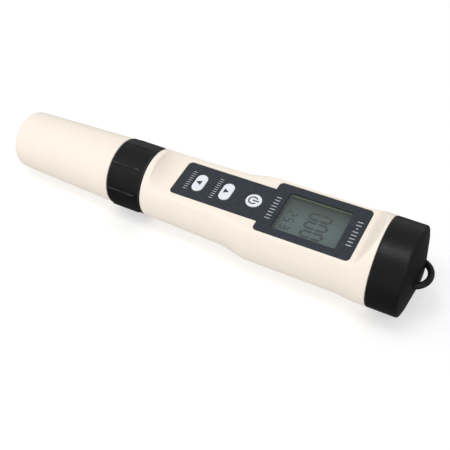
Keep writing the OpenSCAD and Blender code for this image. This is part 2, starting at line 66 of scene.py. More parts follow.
TIP, CAP_MOUTH = span("probe_cap")
COLLAR_END = span("collar_ring")[1]
NECK_X, NECK_END = span("body_shell")
RIM_X = span("battery_cap")[0]
RIM_R = (rim_high.z - rim_low.z) / 2 / MM
END_GAP = 0.25                      # from the barrel to the collar ring and to the battery cap
BODY_X = COLLAR_END + END_GAP
BODY_END = RIM_X - END_GAP

# The label lies on a tilted face, and is narrow beside the keys and wide beside the display.
LABEL_X = BODY_X + 12.3
LABEL_STEP = LABEL_X + 40.8
LABEL_END = LABEL_STEP + 41.0
KEYS_HALF, DISPLAY_HALF = 9.5, 13.85
LABEL_CORNER, LABEL_T = 2.0, 0.45
FACE_LOW, FACE_HIGH = 9.0, 10.6     # the label's heights above the axis, at its two ends
TILT = math.atan((FACE_HIGH - FACE_LOW) / (LABEL_END - LABEL_X))

WINDOW_LEN, WINDOW_W = 27.5, 20.0
WINDOW_MID = LABEL_STEP + 6.3 + WINDOW_LEN / 2

MODE_X, HOLD_X, POWER_X = LABEL_X + 9.7, LABEL_X + 22.4, LABEL_X + 34.95
KEY_LEN, KEY_W, POWER_R = 9.3, 4.9, 3.4
KEY_GAP = 0.2

FRONT_NECK_R, REAR_NECK_R = 12.6, 16.3
FRONT_BORE_R, REAR_BORE_R = 10.8, 14.6
LIP_R = 12.35                       # bore of the probe cap's mouth and of the collar ring's lip
PITCH, RIDGE_H, RIDGE_CLEAR = 3.0, 0.7, 0.2
COLLAR_BORE_R = FRONT_NECK_R + RIDGE_H + RIDGE_CLEAR
RIM_BORE_R = REAR_NECK_R + RIDGE_H + RIDGE_CLEAR
FRONT_THREAD, REAR_THREAD = NECK_X + 2, BODY_END + 2

# AXIS places stations in the frame. FACE does too, with heights measured from the label's top.
AXIS = Matrix.Translation((ORIGIN_X, 0, AXIS_Z)) @ Matrix.Scale(MM, 4)
FACE = (Matrix.Translation((ORIGIN_X + LABEL_X * MM, 0, AXIS_Z + FACE_LOW * MM))
        @ Matrix.Rotation(-TILT, 4, "Y") @ Matrix.Scale(MM, 4)
        @ Matrix.Translation((-LABEL_X, 0, 0)))


# ---------------------------------------------------------------- mesh tools
def cleaned(me):
    """The same mesh, with doubled points joined and its faces turned outward."""
    bm = bmesh.new()
    bm.from_mesh(me)
    bmesh.ops.remove_doubles(bm, verts=bm.verts, dist=1e-5)
    bmesh.ops.recalc_face_normals(bm, faces=bm.faces)
    bm.to_mesh(me)
    bm.free()
    return me


def mesh_from(name, verts, faces, matrix=AXIS):
    me = bpy.data.meshes.new(name)
    me.from_pydata([tuple(v) for v in verts], [], faces)
    cleaned(me).transform(matrix)
    return me


def smooth(me, angle=32):
    me.polygons.foreach_set("use_smooth", np.ones(len(me.polygons), bool))
    me.set_sharp_from_angle(angle=math.radians(angle))
    return me


def joined(name, meshes):
    bm = bmesh.new()
    for me in meshes:
        bm.from_mesh(me)
    out = bpy.data.meshes.new(name)
    bm.to_mesh(out)
    bm.free()
    for me in meshes:
        bpy.data.meshes.remove(me)
    return out


def evaluated(ob):
    depsgraph = bpy.context.evaluated_depsgraph_get()
    return bpy.data.meshes.new_from_object(ob.evaluated_get(depsgraph), depsgraph=depsgraph)


def boolean(me, cutters, operation="DIFFERENCE"):
    """The mesh with each cutter mesh taken away or added."""
    temp = [bpy.data.objects.new("temp", me)]
    for cutter in cutters:
        temp.append(bpy.data.objects.new("cutter", cutter))
    for ob in temp:
        scene.collection.objects.link(ob)
    for ob in temp[1:]:
        mod = temp[0].modifiers.new("cut", "BOOLEAN")
        mod.operation, mod.solver, mod.object = operation, "EXACT", ob
    bpy.context.view_layer.update()
    out = evaluated(temp[0])
    for ob in temp:
        old = ob.data
        bpy.data.objects.remove(ob)
        bpy.data.meshes.remove(old)
    return out


def piece(name, me, body, material, replaces=()):
    """A named object that rides on a body, in one material."""
    me.name = name
    me.materials.clear()
    me.materials.append(material)
    ob = bpy.data.objects.new(name, me)
    scene.collection.objects.link(ob)
    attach(ob, body)
    if replaces:
        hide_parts(*replaces)
    return ob


def arc(cx, cy, r, start, end, n=8):
    """Points of an arc, with angles in degrees."""
    angles = [math.radians(start + (end - start) * i / n) for i in range(n + 1)]
    return [(cx + r * math.cos(a), cy + r * math.sin(a)) for a in angles]


def ring_faces(rows, n, closed):
    """Quads between rings of n vertices, where rows lists each ring's first vertex index."""
    faces = []
    following = rows[1:] + rows[:1] if closed else rows[1:]
    for a, b in zip(rows, following):
        for j in range(n):
            k = (j + 1) % n
            faces.append((a + j, a + k, b + k, b + j))
    return faces


def lathe(name, profile, angles, radius=None, closed=True):
    """Turns (station, radius) points about the axis. radius(i, r, angle) may shape each ring.
    With closed off, the first and last points lie on the axis."""
    n = len(angles)
    inner = profile if closed else profile[1:-1]
    verts = []
    for i, (x, r) in enumerate(inner):
        for a in angles:
            shaped = radius(i, r, a) if radius else r
            verts.append((x, shaped * math.cos(a), shaped * math.sin(a)))
    rows = [i * n for i in range(len(inner))]
    faces = ring_faces(rows, n, closed)
    if not closed:
        for (x, _), row in ((profile[0], rows[0]), (profile[-1], rows[-1])):
            verts.append((x, 0, 0))
            for j in range(n):
                faces.append((len(verts) - 1, row + j, row + (j + 1) % n))
    return mesh_from(name, verts, faces)


def even(n):
    """n angles, evenly spaced round a turn."""
    return [2 * math.pi * j / n for j in range(n)]


RIDGE_STEPS, RIDGE_TURNS = 60, 1.75     # sections in a turn, and turns
RIDGE_FADE = 10                         # sections in which a ridge reaches its full height
RIDGE_ROOT, RIDGE_SINK = 0.3, 0.15      # depth of its root in the wall, and of its crest at the ends
RIDGE_SHAPE = ((0, -0.65), (0.8, -0.42), (1, -0.26), (1, 0.26), (0.8, 0.42), (0, 0.65))


def thread_ridge(name, r, side, start, turn=0.0):
    """Helical ridge on a wall of radius r; side is 1 on a neck and -1 inside a ring."""
    sections = int(RIDGE_STEPS * RIDGE_TURNS)
    verts = []
    for i in range(sections + 1):
        a = 2 * math.pi * i / RIDGE_STEPS + turn
        full = ease(min(i, sections - i) / RIDGE_FADE)
        for rise, along in RIDGE_SHAPE:
            crest = RIDGE_H * full * rise - RIDGE_SINK * (1 - full)
            at = r + side * (crest if rise else -RIDGE_ROOT)
            verts.append((start + PITCH * i / RIDGE_STEPS + along, at * math.sin(a), -at * math.cos(a)))
    n = len(RIDGE_SHAPE)
    rows = [i * n for i in range(sections + 1)]
    ends = [tuple(range(n)), tuple(range(rows[-1], rows[-1] + n))]
    return mesh_from(name, verts, ring_faces(rows, n, False) + ends)


def plate(name, outlines, low, high, bevel=0.0):
    """Flat piece between two heights above the label, with holes and a fine rounded edge."""
    curve = bpy.data.curves.new(name, "CURVE")
    curve.dimensions = "2D"
    curve.fill_mode = "BOTH"
    curve.extrude = (high - low) / 2 - bevel
    curve.bevel_depth = bevel
    curve.bevel_resolution = 2
    curve.offset = -bevel
    for outline in outlines:
        spline = curve.splines.new("POLY")
        spline.points.add(len(outline) - 1)
        for point, (x, y) in zip(spline.points, outline):
            point.co = (x, y, 0, 1)
        spline.use_cyclic_u = True
    ob = bpy.data.objects.new(name, curve)
    scene.collection.objects.link(ob)
    bpy.context.view_layer.update()
    me = evaluated(ob)
    bpy.data.objects.remove(ob)
    bpy.data.curves.remove(curve)
    cleaned(me).transform(FACE @ Matrix.Translation((0, 0, (low + high) / 2)))
    return me


def loft(name, outlines):
    """Closed solid on the face, through outlines of equal point counts, each with its height."""
    n = len(outlines[0][0])
    verts = [(x, y, z) for outline, z in outlines for x, y in outline]
    rows = [i * n for i in range(len(outlines))]
    ends = [tuple(range(n)), tuple(range(rows[-1], rows[-1] + n))]
    return mesh_from(name, verts, ring_faces(rows, n, False) + ends, FACE)


def prism(outline, low, high):
    return loft("prism", [(outline, low), (outline, high)])


def ease(t):
    """Smooth step from 0 to 1."""
    t = max(0.0, min(1.0, t))
    return t * t * (3 - 2 * t)


def soft_min(a, b, k):
    """The lower of two values, rounded over a difference of k."""
    h = max(0.0, min(1.0, 0.5 + 0.5 * (b - a) / k))
    return b + (a - b) * h - k * h * (1 - h)


# ---------------------------------------------------------------- outlines on the face
def circle(x, y, r, n=48):
    return arc(x, y, r, 0, 360 * (n - 1) / n, n - 1)


def rect(x, y, length, width, r, n=5):
    hx, hy = length / 2 - r, width / 2 - r
    return (arc(x + hx, y + hy, r, 0, 90, n) + arc(x - hx, y + hy, r, 90, 180, n)
            + arc(x - hx, y - hy, r, 180, 270, n) + arc(x + hx, y - hy, r, 270, 360, n))


def long_key(x, grow):
    """Outline of the mode key or the hold key, grown by this much all round."""
    r = KEY_W / 2 + grow
    end = (KEY_LEN - KEY_W) / 2
    return arc(x, end, r, 0, 180, 16) + arc(x, -end, r, 180, 360, 16)


def round_key(x, grow):
    """Outline of the power key, grown by this much all round."""
    return circle(x, 0, POWER_R + grow)


def window_outline(grow, corner):
    """Outline of the display's window, with this much more length and width."""
    return rect(WINDOW_MID, 0, WINDOW_LEN + grow, WINDOW_W + grow, corner)


def label_outline(grow):
    """Outline of the label, grown by this much all round."""
    c, n = LABEL_CORNER, 8
    x0, x1, x2 = LABEL_X - grow, LABEL_STEP - grow, LABEL_END + grow
    a, b = KEYS_HALF + grow, DISPLAY_HALF + grow
    return (arc(x0 + c, -a + c, c, 180, 270, n) + [(x1, -a)] + arc(x1 + c, -b + c, c, 180, 270, n)
            + arc(x2 - c, -b + c, c, 270, 360, n) + arc(x2 - c, b - c, c, 0, 90, n)
            + arc(x1 + c, b - c, c, 90, 180, n) + [(x1, a)] + arc(x0 + c, a - c, c, 90, 180, n))


key_holes = [long_key(MODE_X, KEY_GAP), long_key(HOLD_X, KEY_GAP), round_key(POWER_X, KEY_GAP)]


# ---------------------------------------------------------------- materials
def srgb(r, g, b):
    """Linear colour of an 8-bit screen colour."""
    out = []
    for c in (r / 255, g / 255, b / 255):
        out.append(c / 12.92 if c <= 0.04045 else ((c + 0.055) / 1.055) ** 2.4)
    return tuple(out) + (1.0,)


def shade(colour, factor):
    return tuple(min(1.0, c * factor) for c in colour[:3]) + (1.0,)


class Nodes:
    """A material's node tree with a Principled shader and object coordinates."""

    def __init__(self, name):
        self.mat = bpy.data.materials.new(name)
        self.mat.use_nodes = True
        self.tree = self.mat.node_tree
        self.shader = self.tree.nodes["Principled BSDF"]
        self.coord = self.tree.nodes.new("ShaderNodeTexCoord").outputs["Object"]

    def put(self, **sockets):
        """Sets constants on the shader's own sockets."""
        for key, value in sockets.items():
            self.shader.inputs[key.replace("_", " ")].default_value = value

    def feed(self, value, socket):
        """Links an output to a socket, or sets the socket to a constant."""
        if hasattr(value, "is_linked"):
            self.tree.links.new(value, socket)
        else:
            socket.default_value = value

    def node(self, kind, output, **sockets):
        """A new node's output, with its inputs linked or set by name."""
        made = self.tree.nodes.new(kind)
        for key, value in sockets.items():
            self.feed(value, made.inputs[key.replace("_", " ")])
        return made.outputs[output]

    def scaled(self, scale):
        return self.node("ShaderNodeMapping", "Vector", Scale=scale, Vector=self.coord)

    def noise(self, scale, detail=3.0, rough=0.55, coord=None):
        return self.node("ShaderNodeTexNoise", "Fac", Scale=scale, Detail=detail, Roughness=rough,
                         Vector=coord or self.coord)

    def cells(self, scale, coord):
        return self.node("ShaderNodeTexVoronoi", "Distance", Scale=scale, Vector=coord)

    def spread(self, fac, low, high, start=0.3, end=0.7):
        """Maps start..end to low..high."""
        return self.node("ShaderNodeMapRange", "Result", From_Min=start, From_Max=end, To_Min=low,
                         To_Max=high, Value=fac)

    def ramp(self, fac, stops):
        node = self.tree.nodes.new("ShaderNodeValToRGB")
        while len(node.color_ramp.elements) < len(stops):
            node.color_ramp.elements.new(0.5)
        for element, (at, colour) in zip(node.color_ramp.elements, stops):
            element.position, element.color = at, colour
        self.feed(fac, node.inputs["Fac"])
        return node.outputs["Color"]

    def mix(self, fac, a, b):
        node = self.tree.nodes.new("ShaderNodeMix")
        node.data_type = "RGBA"
        colours = [socket for socket in node.inputs if socket.type == "RGBA"]
        self.feed(fac, node.inputs["Factor"])
        self.feed(a, colours[0])
        self.feed(b, colours[1])
        return next(socket for socket in node.outputs if socket.type == "RGBA")

    def bump(self, height, strength, distance, below=None):
        out = self.node("ShaderNodeBump", "Normal", Strength=strength, Distance=distance, Height=height)
        if below:
            self.feed(below, out.node.inputs["Normal"])
        return out

    def wear_and_highlight(self, colour, worn_and_highlight, low, high, scale):
        """Lighter edges where the surface turns outward, broken up by noise: partly rubbed wear, partly a
        painted highlight on ridges and rims.
        """
        point = self.tree.nodes.new("ShaderNodeNewGeometry").outputs["Pointiness"]
        edge = self.spread(point, 0.0, 0.5, low, high)
        patch = self.spread(self.noise(scale, 4), 0.3, 1.0, 0.42, 0.6)
        product = self.tree.nodes.new("ShaderNodeMath")
        product.operation = "MULTIPLY"
        self.feed(edge, product.inputs[0])
        self.feed(patch, product.inputs[1])
        return self.mix(product.outputs[0], colour, worn_and_highlight)

    def finish(self, colour, rough, normal):
        """The material, with these on its shader."""
        for key, value in (("Base Color", colour), ("Roughness", rough), ("Normal", normal)):
            self.feed(value, self.shader.inputs[key])
        return self.mat


def moulded(name, colour, rough, variation=0.04, grain=(2600, 0.25, 0.00003), specular=0.4, worn_and_highlight=None,
            rub_and_highlight=(0.515, 0.56, 900)):
    """Injection-moulded plastic: fine spark-eroded grain, faint sink marks and uneven gloss.
    grain is its scale, strength and depth. A colour for the lighter edges, when given, is partly wear and
    partly a painted highlight; the last argument gives the pointiness where these edges start and are
    full, and their scale."""
    m = Nodes(name)
    m.put(Specular_IOR_Level=specular)
    cloud = m.spread(m.noise(90, 3), 0.0, 1.0)
    base = m.mix(cloud, shade(colour, 1 - variation), shade(colour, 1 + variation * 0.6))
    if worn_and_highlight:
        base = m.wear_and_highlight(base, worn_and_highlight, *rub_and_highlight)
    gloss = m.spread(m.noise(420, 4), rough - 0.05, rough + 0.06)
    grain_scale, strength, depth = grain
    sink = m.bump(m.noise(140, 2), 0.1, 0.0001)
    return m.finish(base, gloss, m.bump(m.noise(grain_scale, 5, 0.65), strength, depth, sink))


def ink(name, colour, rough=0.5, variation=0.08, strength=0.3):
    """Printed ink, much smoother than the plastic under it."""
    return moulded(name, colour, rough, variation, grain=(5200, strength, 0.00001))


def speckled(name, dark, mid, light, rough):
    """Printed film with a fine metallic-looking fleck."""
    m = Nodes(name)
    m.put(Specular_IOR_Level=0.25)
    base = m.ramp(m.noise(2600, 2, 0.8), ((0.34, dark), (0.5, mid), (0.66, light)))
    base = m.mix(m.spread(m.noise(110, 2), 0.0, 0.35), base, mid)
    gloss = m.spread(m.noise(700, 3), rough - 0.06, rough + 0.08)
    return m.finish(base, gloss, m.bump(m.noise(3800, 4, 0.7), 0.3, 0.00002))


def plated(name, colour, rough):
    """Plated or drawn metal with fine lines and tarnish clouds."""
    m = Nodes(name)
    m.put(Metallic=1.0)
    lines = m.noise(900, 4, 0.6, m.scaled((1, 12, 12)))
    cloud = m.spread(m.noise(160, 4), 0.0, 1.0, 0.35, 0.75)
    base = m.mix(cloud, shade(colour, 1.04), shade(colour, 0.82))
    gloss = m.spread(lines, rough - 0.06, rough + 0.12)
    return m.finish(base, gloss, m.bump(lines, 0.15, 0.00002))


def clear(name, colour, alpha, rough):
    """Clear glass or acrylic with a faint unevenness."""
    m = Nodes(name)
    m.put(Alpha=alpha, IOR=1.49)
    tint = m.mix(m.spread(m.noise(60, 2), 0.0, 1.0), shade(colour, 0.96), colour)
    return m.finish(tint, rough, m.bump(m.noise(70, 2), 0.05, 0.0001))


def laminate():
    """Green circuit board with copper tracks under its mask."""
    m = Nodes("board_laminate")
    lines = m.cells(520, m.scaled((1, 1, 0.2)))
    track = m.ramp(lines, ((0.32, srgb(20, 92, 52)), (0.36, srgb(38, 120, 70))))
    base = m.mix(m.spread(m.noise(300, 3), 0.0, 0.5), track, srgb(18, 80, 46))
    return m.finish(base, 0.32, m.bump(lines, 0.2, 0.00003))


def layered_rubber():
    """Elastomer connector in thin layers of conducting and plain rubber."""
    m = Nodes("elastomer")
    wave = m.node("ShaderNodeTexWave", "Fac", Scale=900, Vector=m.coord)
    wave.node.bands_direction = "Y"
    base = m.ramp(wave, ((0.45, srgb(70, 66, 78)), (0.55, srgb(176, 168, 186))))
    return m.finish(base, 0.6, m.bump(m.noise(2400), 0.3, 0.00003))


def display_glass():
    """Reflective liquid-crystal panel, grey-green, with painted shadow of the window's walls: browner and
    darker towards its far edge, and darker at its end towards the keys.
    """
    m = Nodes("display_glass")
    m.put(Specular_IOR_Level=0.2)
    split = m.node("ShaderNodeSeparateXYZ", "Y", Vector=m.coord)
    # painted shadow from the window's far wall: browner and darker towards +Y
    across = m.spread(split, 0.0, 1.0, 0.5 * MM, 9.8 * MM)
    base = m.mix(across, srgb(80, 98, 97), srgb(36, 40, 32))
    # painted shadow from the window's wall at the end towards the keys, fading out 7 mm in
    near, clear_of = (ORIGIN_X + (WINDOW_MID + d) * MM for d in (-14.85, -7.85))
    front = m.spread(split.node.outputs["X"], 0.55, 0.0, near, clear_of)
    base = m.mix(front, base, srgb(68, 73, 67))
    base = m.mix(m.spread(m.noise(2600, 3, 0.7), 0.0, 0.2), base, srgb(102, 119, 115))
    gloss = m.spread(m.noise(900, 3), 0.28, 0.4)
    return m.finish(base, gloss, m.bump(m.noise(4200, 3), 0.15, 0.00001))


BLACK = srgb(20, 21, 22)
cream = moulded("cream_plastic", srgb(243, 233, 220), 0.46, 0.015)
# Their lighter edges, on the collar's rib crests most of all, are partly rubbed wear and partly a painted
# highlight.
black = moulded("black_plastic", BLACK, 0.36, 0.12, specular=0.16, worn_and_highlight=srgb(64, 66, 69))
ribbed = moulded("ribbed_plastic", BLACK, 0.36, 0.12, specular=0.16, worn_and_highlight=srgb(74, 76, 80),
                 rub_and_highlight=(0.505, 0.53, 260))
label_film = speckled("label_film", srgb(30, 35, 42), srgb(42, 47, 54), srgb(62, 70, 80), 0.5)
key_face = speckled("key_plastic", srgb(210, 213, 224), srgb(226, 229, 238), srgb(242, 243, 247), 0.42)
# key rims: a lighter copy of the key plastic, a painted highlight along their rounded edges
key_rim_highlight = moulded("key_rim_highlight", srgb(238, 239, 243), 0.35, 0.01)
light_ink = ink("light_ink", srgb(186, 191, 198))
dark_ink = ink("dark_ink", srgb(46, 49, 54))
foam = moulded("gasket_foam", srgb(40, 40, 38), 0.75, 0.15, grain=(3400, 0.8, 0.00008))
pane = clear("clear_pane", srgb(150, 160, 158), 0.1, 0.06)
panel = display_glass()
segment_dark = ink("segment_ink", srgb(26, 32, 31), 0.42, 0.06, 0.2)
segment_pale = ink("segment_pale_ink", srgb(36, 43, 41), 0.42, 0.06, 0.2)
# bright green of the lines painted as reflections of the window's edges
painted_reflection_green = moulded("painted_reflection_green", srgb(112, 150, 96), 0.4, 0.1)
tape_film = moulded("tape_film", srgb(34, 36, 35), 0.5, 0.1, specular=0.2)

SLOT_MATERIALS = {
    "cream_plastic": cream,
    "black_plastic": moulded("housing_plastic", srgb(30, 31, 32), 0.42, 0.14,
                             grain=(2200, 0.35, 0.00004), specular=0.2),
    "label_film": label_film,
    "clear_pane": pane,
    "display_glass": panel,
    "black_foam": foam,
    "white_plastic": moulded("white_plastic", srgb(226, 226, 222), 0.45, 0.02),
    "key_plastic": key_face,
    "switch_plastic": moulded("switch_plastic", srgb(52, 52, 52), 0.5, 0.1),
    "elastomer": layered_rubber(),
    "board_laminate": laminate(),
    "chip_resin": moulded("chip_resin", srgb(44, 45, 47), 0.62, 0.1, grain=(5200, 0.4, 0.00002)),
    "bright_steel": plated("bright_steel", srgb(214, 214, 216), 0.24),
    "gold_plate": plated("gold_plate", srgb(226, 188, 110), 0.22),
    "clear_glass": clear("clear_glass", srgb(225, 236, 238), 0.35, 0.04),
    "porous_ceramic": moulded("porous_ceramic", srgb(224, 220, 208), 0.85, 0.05,
                              grain=(4200, 0.9, 0.0001)),
    "seal_rubber": moulded("seal_rubber", srgb(34, 34, 35), 0.55, 0.15, grain=(1800, 0.3, 0.00003)),
    "flat_flex": moulded("flat_flex", srgb(196, 150, 86), 0.4, 0.06),
}
for part in frame["record"]["subparts"]:
    cad_node = frame["nodes"].get(part["node"])
    if cad_node:
        cad_node.data.materials.clear()
        cad_node.data.materials.append(SLOT_MATERIALS[part["material_slot"]])


# ---------------------------------------------------------------- barrel
FRONT_R, FLARE_R, REAR_R, END_R = 15.15, 16.0, 18.25, 19.0
FLARE, FLARE_END = BODY_X + 36.5, BODY_X + 50.5
SWELL_END = BODY_END - 3.6
SWELL = SWELL_END - 11
FRONT_ROUND, END_ROUND, NECK_CUT = 0.5, 0.4, 0.3
BARREL_WALL, CAVITY_R = 1.9, 16.35
FACE_RIM, FACE_WALL = 0.15, 2.25    # the skin above the label's top, and its inner side below it
SCOOP_X, SCOOP_R, SCOOP_RISE = LABEL_X - 2.2, 7.2, 4        # SCOOP_RISE is the slope beyond its round
TOE, TOE_ROUND, RAMP = LABEL_END + 1.9, 0.9, math.radians(53)
RAMP_WALL = 1.3                     # from the ramp's toe to the toe of its inner side
LABEL_ROOM = 0.3                    # beside the label, before the crease starts
CREASE_LOW, CREASE_HIGH, SCOOP_CREASE, FINE_CREASE = 0.6, 2.2, 2.4, 0.3


def barrel_r(x):
    """Radius of the round barrel: a slight taper, a flare and a swell."""
    r = FRONT_R + (FLARE_R - FRONT_R) * min(1, (x - BODY_X) / (FLARE - BODY_X))
    r += (REAR_R - FLARE_R) * ease((x - FLARE) / (FLARE_END - FLARE))
    return r + (END_R - REAR_R) * ease((x - SWELL) / (SWELL_END - SWELL))


def face_height(x):
    """Height above the axis of the label's top, carried on past its ends."""
    return FACE_LOW + (x - LABEL_X) * math.tan(TILT)


def flat_height(x):
    """Height of the surface cut into the barrel's top: scoop, face and ramp."""
    if x < SCOOP_X:
        back = min(SCOOP_X - x, SCOOP_R)
        scoop = SCOOP_R - math.sqrt(SCOOP_R ** 2 - back * back)
        return face_height(SCOOP_X) + FACE_RIM + scoop + SCOOP_RISE * (SCOOP_X - x - back)
    top = face_height(x) + FACE_RIM
    if x < LABEL_X:
        return top
    ramp = face_height(TOE) + FACE_RIM + (x - TOE) * math.tan(RAMP)
    return -soft_min(-top, -ramp, TOE_ROUND)


def crease(x):
    """Rounding where the cut surface meets the round barrel, kept clear of the label."""
    half = KEYS_HALF + (DISPLAY_HALF - KEYS_HALF) * ease((x - LABEL_STEP + 11) / 9)
    room = barrel_r(x) - math.hypot(half + LABEL_ROOM, face_height(x) + FACE_RIM)
    k = max(CREASE_LOW, min(CREASE_HIGH, room)) + SCOOP_CREASE * ease((SCOOP_X + 1 - x) / 5)
    k += (CREASE_HIGH - k) * ease((x - LABEL_END - 0.5) / 3)
    return k + (FINE_CREASE - k) * ease((x - SWELL_END + 0.4) / 3.6)


def outer_stations():
    """Stations of the barrel's outer rows, closer together where its shape turns."""
    stretches = [(BODY_X + 0.7, 0.5), (SCOOP_X - SCOOP_R, 0.2), (SCOOP_X + 1, 1.5), (FLARE, 0.5),
                 (FLARE_END, 2), (SWELL, 0.6), (TOE - 1, 0.2), (BODY_END - END_ROUND, None)]
    out = []
    for (start, gap), (end, _) in zip(stretches, stretches[1:]):
        n = max(1, round((end - start) / gap))
        out += [start + (end - start) * i / n for i in range(n)]
    return out


def inner_rows():
    """Rows of the barrel's inner wall, from its rear end to its front end."""
    round_part = [(BODY_END - 4, CAVITY_R)] + [(FLARE_END + d, CAVITY_R) for d in (37, 27, 17, 7, 0)]
    stations = [FLARE_END - d for d in (4, 8, 12)] + [FLARE - d for d in (0, 9, 18, 26)] + [BODY_X + 4]
    round_part += [(x, barrel_r(x) - BARREL_WALL) for x in stations]
    rows = []
    for x, r in round_part:
        ramp = face_height(TOE) + (x - TOE - RAMP_WALL) * math.tan(RAMP)
        rows.append((x, r, max(face_height(x), ramp) - FACE_WALL, FINE_CREASE))
    return rows


def plain(points):
    """Rows that are round all the way, from (station, radius) points."""
    return [(x, r, None, 0) for x, r in points]


# (station, radius, flat height or None, edge softness), out along the skin and back inside
barrel_rows = plain(arc(BODY_X + FRONT_ROUND, FRONT_R - FRONT_ROUND, FRONT_ROUND, 180, 90, 5))
barrel_rows += [(x, barrel_r(x), flat_height(x), crease(x)) for x in outer_stations()]
barrel_rows += plain(arc(BODY_END - END_ROUND, END_R - END_ROUND, END_ROUND, 90, 0, 5))
barrel_rows += plain([(BODY_END, REAR_NECK_R), (NECK_END - NECK_CUT, REAR_NECK_R),
                      (NECK_END, REAR_NECK_R - NECK_CUT), (NECK_END, REAR_BORE_R + NECK_CUT),
                      (NECK_END - NECK_CUT, REAR_BORE_R), (BODY_END - 1.5, REAR_BORE_R)])
barrel_rows += inner_rows()
barrel_rows += plain([(BODY_X + 4, FRONT_BORE_R), (NECK_X + NECK_CUT, FRONT_BORE_R),
                      (NECK_X, FRONT_BORE_R + NECK_CUT), (NECK_X, FRONT_NECK_R - NECK_CUT),
                      (NECK_X + NECK_CUT, FRONT_NECK_R), (BODY_X, FRONT_NECK_R)])


def barrel_angles():
    """Angles from +Y: fine where the flat's two edges lie, closer over the flat, wider below."""
    edge = [28 + 0.4 * i for i in range(46)]
    far_edge = [180 - a for a in edge]
    flat = list(range(47, 134))
    below = [a for a in range(-90, 270, 3) if a < 28 or a > 152]
    return [math.radians(a) for a in sorted(edge + far_edge + flat + below)]


def barrel_radius(i, r, angle):
    _, _, flat, soft = barrel_rows[i]
    rise = math.sin(angle)
    if flat is None or rise < 0.05:
        return r
    return soft_min(r, flat / rise, soft)


SEAT, CUT_LOW, CUT_TOP = -1.45, -4, 4       # the pane's ledge, and the ends of the cuts
barrel_mesh = lathe("barrel", [(x, r) for x, r, _, _ in barrel_rows], barrel_angles(), barrel_radius)
barrel_mesh = boolean(barrel_mesh, [
    prism(label_outline(0.1), -LABEL_T, CUT_TOP),
    prism(window_outline(2.7, 0.3), SEAT, CUT_TOP),
    prism(window_outline(0, 0.3), CUT_LOW, CUT_TOP),
] + [prism(hole, CUT_LOW, CUT_TOP) for hole in key_holes])
barrel_mesh = joined("barrel", [
    barrel_mesh,
    thread_ridge("front_thread", FRONT_NECK_R, 1, FRONT_THREAD),
    thread_ridge("rear_thread", REAR_NECK_R, 1, REAR_THREAD),
])
barrel = piece("barrel_skin", smooth(barrel_mesh), "pen_body", cream, ["body_shell"])
barrel.modifiers.new("normals", "WEIGHTED_NORMAL").keep_sharp = True

# ---------------------------------------------------------------- probe cap
CAP_TIP_R, CAP_MOUTH_R, CAP_EDGE_R, CAP_WALL = 12.95, 14.8, 2.2, 1.7
CAP_LIP, CAP_LIP_LEN = 0.4, 7


def probe_cap():
    """Tapered cap with a rounded tip, hollow to a wall's thickness."""
    def side(x):
        return CAP_TIP_R + (CAP_MOUTH_R - CAP_TIP_R) / (CAP_MOUTH - TIP) * (x - TIP)

    tip = (TIP + CAP_EDGE_R, CAP_TIP_R - CAP_EDGE_R)
    lip_x = CAP_MOUTH - CAP_LIP
    profile = [(TIP, r) for r in (0, 3, 6, 9)] + arc(*tip, CAP_EDGE_R, 180, 92, 16)
    profile += [(TIP + d, side(TIP + d)) for d in (8, 16, 24, 32, 40, 46)]
    profile += arc(lip_x, CAP_MOUTH_R - CAP_LIP, CAP_LIP, 90, 0, 5)
    profile += arc(lip_x, LIP_R + CAP_LIP, CAP_LIP, 0, -90, 4)
    profile += [(CAP_MOUTH - CAP_LIP_LEN, LIP_R),
                (CAP_MOUTH - CAP_LIP_LEN - 1, side(CAP_MOUTH - CAP_LIP_LEN) - CAP_WALL)]
    profile += [(TIP + d, side(TIP + d) - CAP_WALL) for d in (30, 16)]
    profile += arc(*tip, CAP_EDGE_R - CAP_WALL, 90, 180, 8) + [(TIP + CAP_WALL, 0)]
    return lathe("probe_cap", profile, even(160), closed=False)


piece("probe_cap_skin", smooth(probe_cap()), "cap", cream, ["probe_cap"])

# ---------------------------------------------------------------- collar ring
COLLAR_R, COLLAR_ROUND = 15.0, 0.5
RIB_H, RIB_HALF, RIB_END, RIBS, RIB_TURN = 0.4, 0.5, 0.6, 8, 164
RIB_LOW, RIB_HIGH = COLLAR_X + 0.7, COLLAR_END - 2.4
# a rib's angle from the +Y axis, from the turn that the CAD gives it about the pen's axis
RIB_ANGLES = [math.radians(RIB_TURN - 90 + 360 * i / RIBS) for i in range(RIBS)]

collar_profile = arc(COLLAR_X + COLLAR_ROUND, COLLAR_R - COLLAR_ROUND, COLLAR_ROUND, 180, 90, 5)
collar_profile += [(x, COLLAR_R) for x in (
    RIB_LOW + 0.05, RIB_LOW + 0.3, RIB_LOW + 0.6, COLLAR_X + 5, COLLAR_X + 9, RIB_HIGH - 0.6,
    RIB_HIGH - 0.3, RIB_HIGH, RIB_HIGH + 0.15, COLLAR_END - 1)]
collar_profile += arc(COLLAR_END - 0.3, COLLAR_R - 0.3, 0.3, 90, 0, 4)
collar_profile += [(COLLAR_END, COLLAR_BORE_R + 0.3), (COLLAR_END - 0.3, COLLAR_BORE_R),
                   (COLLAR_X + 2, COLLAR_BORE_R), (COLLAR_X + 2, LIP_R), (COLLAR_X + 0.3, LIP_R),
                   (COLLAR_X, LIP_R + 0.3)]


def collar_angles():
    """Angles 0.3 degrees apart over each rib, and 3.25 degrees apart between the ribs."""
    degrees = [0.3 * i for i in range(-10, 11)] + [3 + 3.25 * i for i in range(1, 12)]
    return sorted((rib + math.radians(d)) % (2 * math.pi) for rib in RIB_ANGLES for d in degrees)


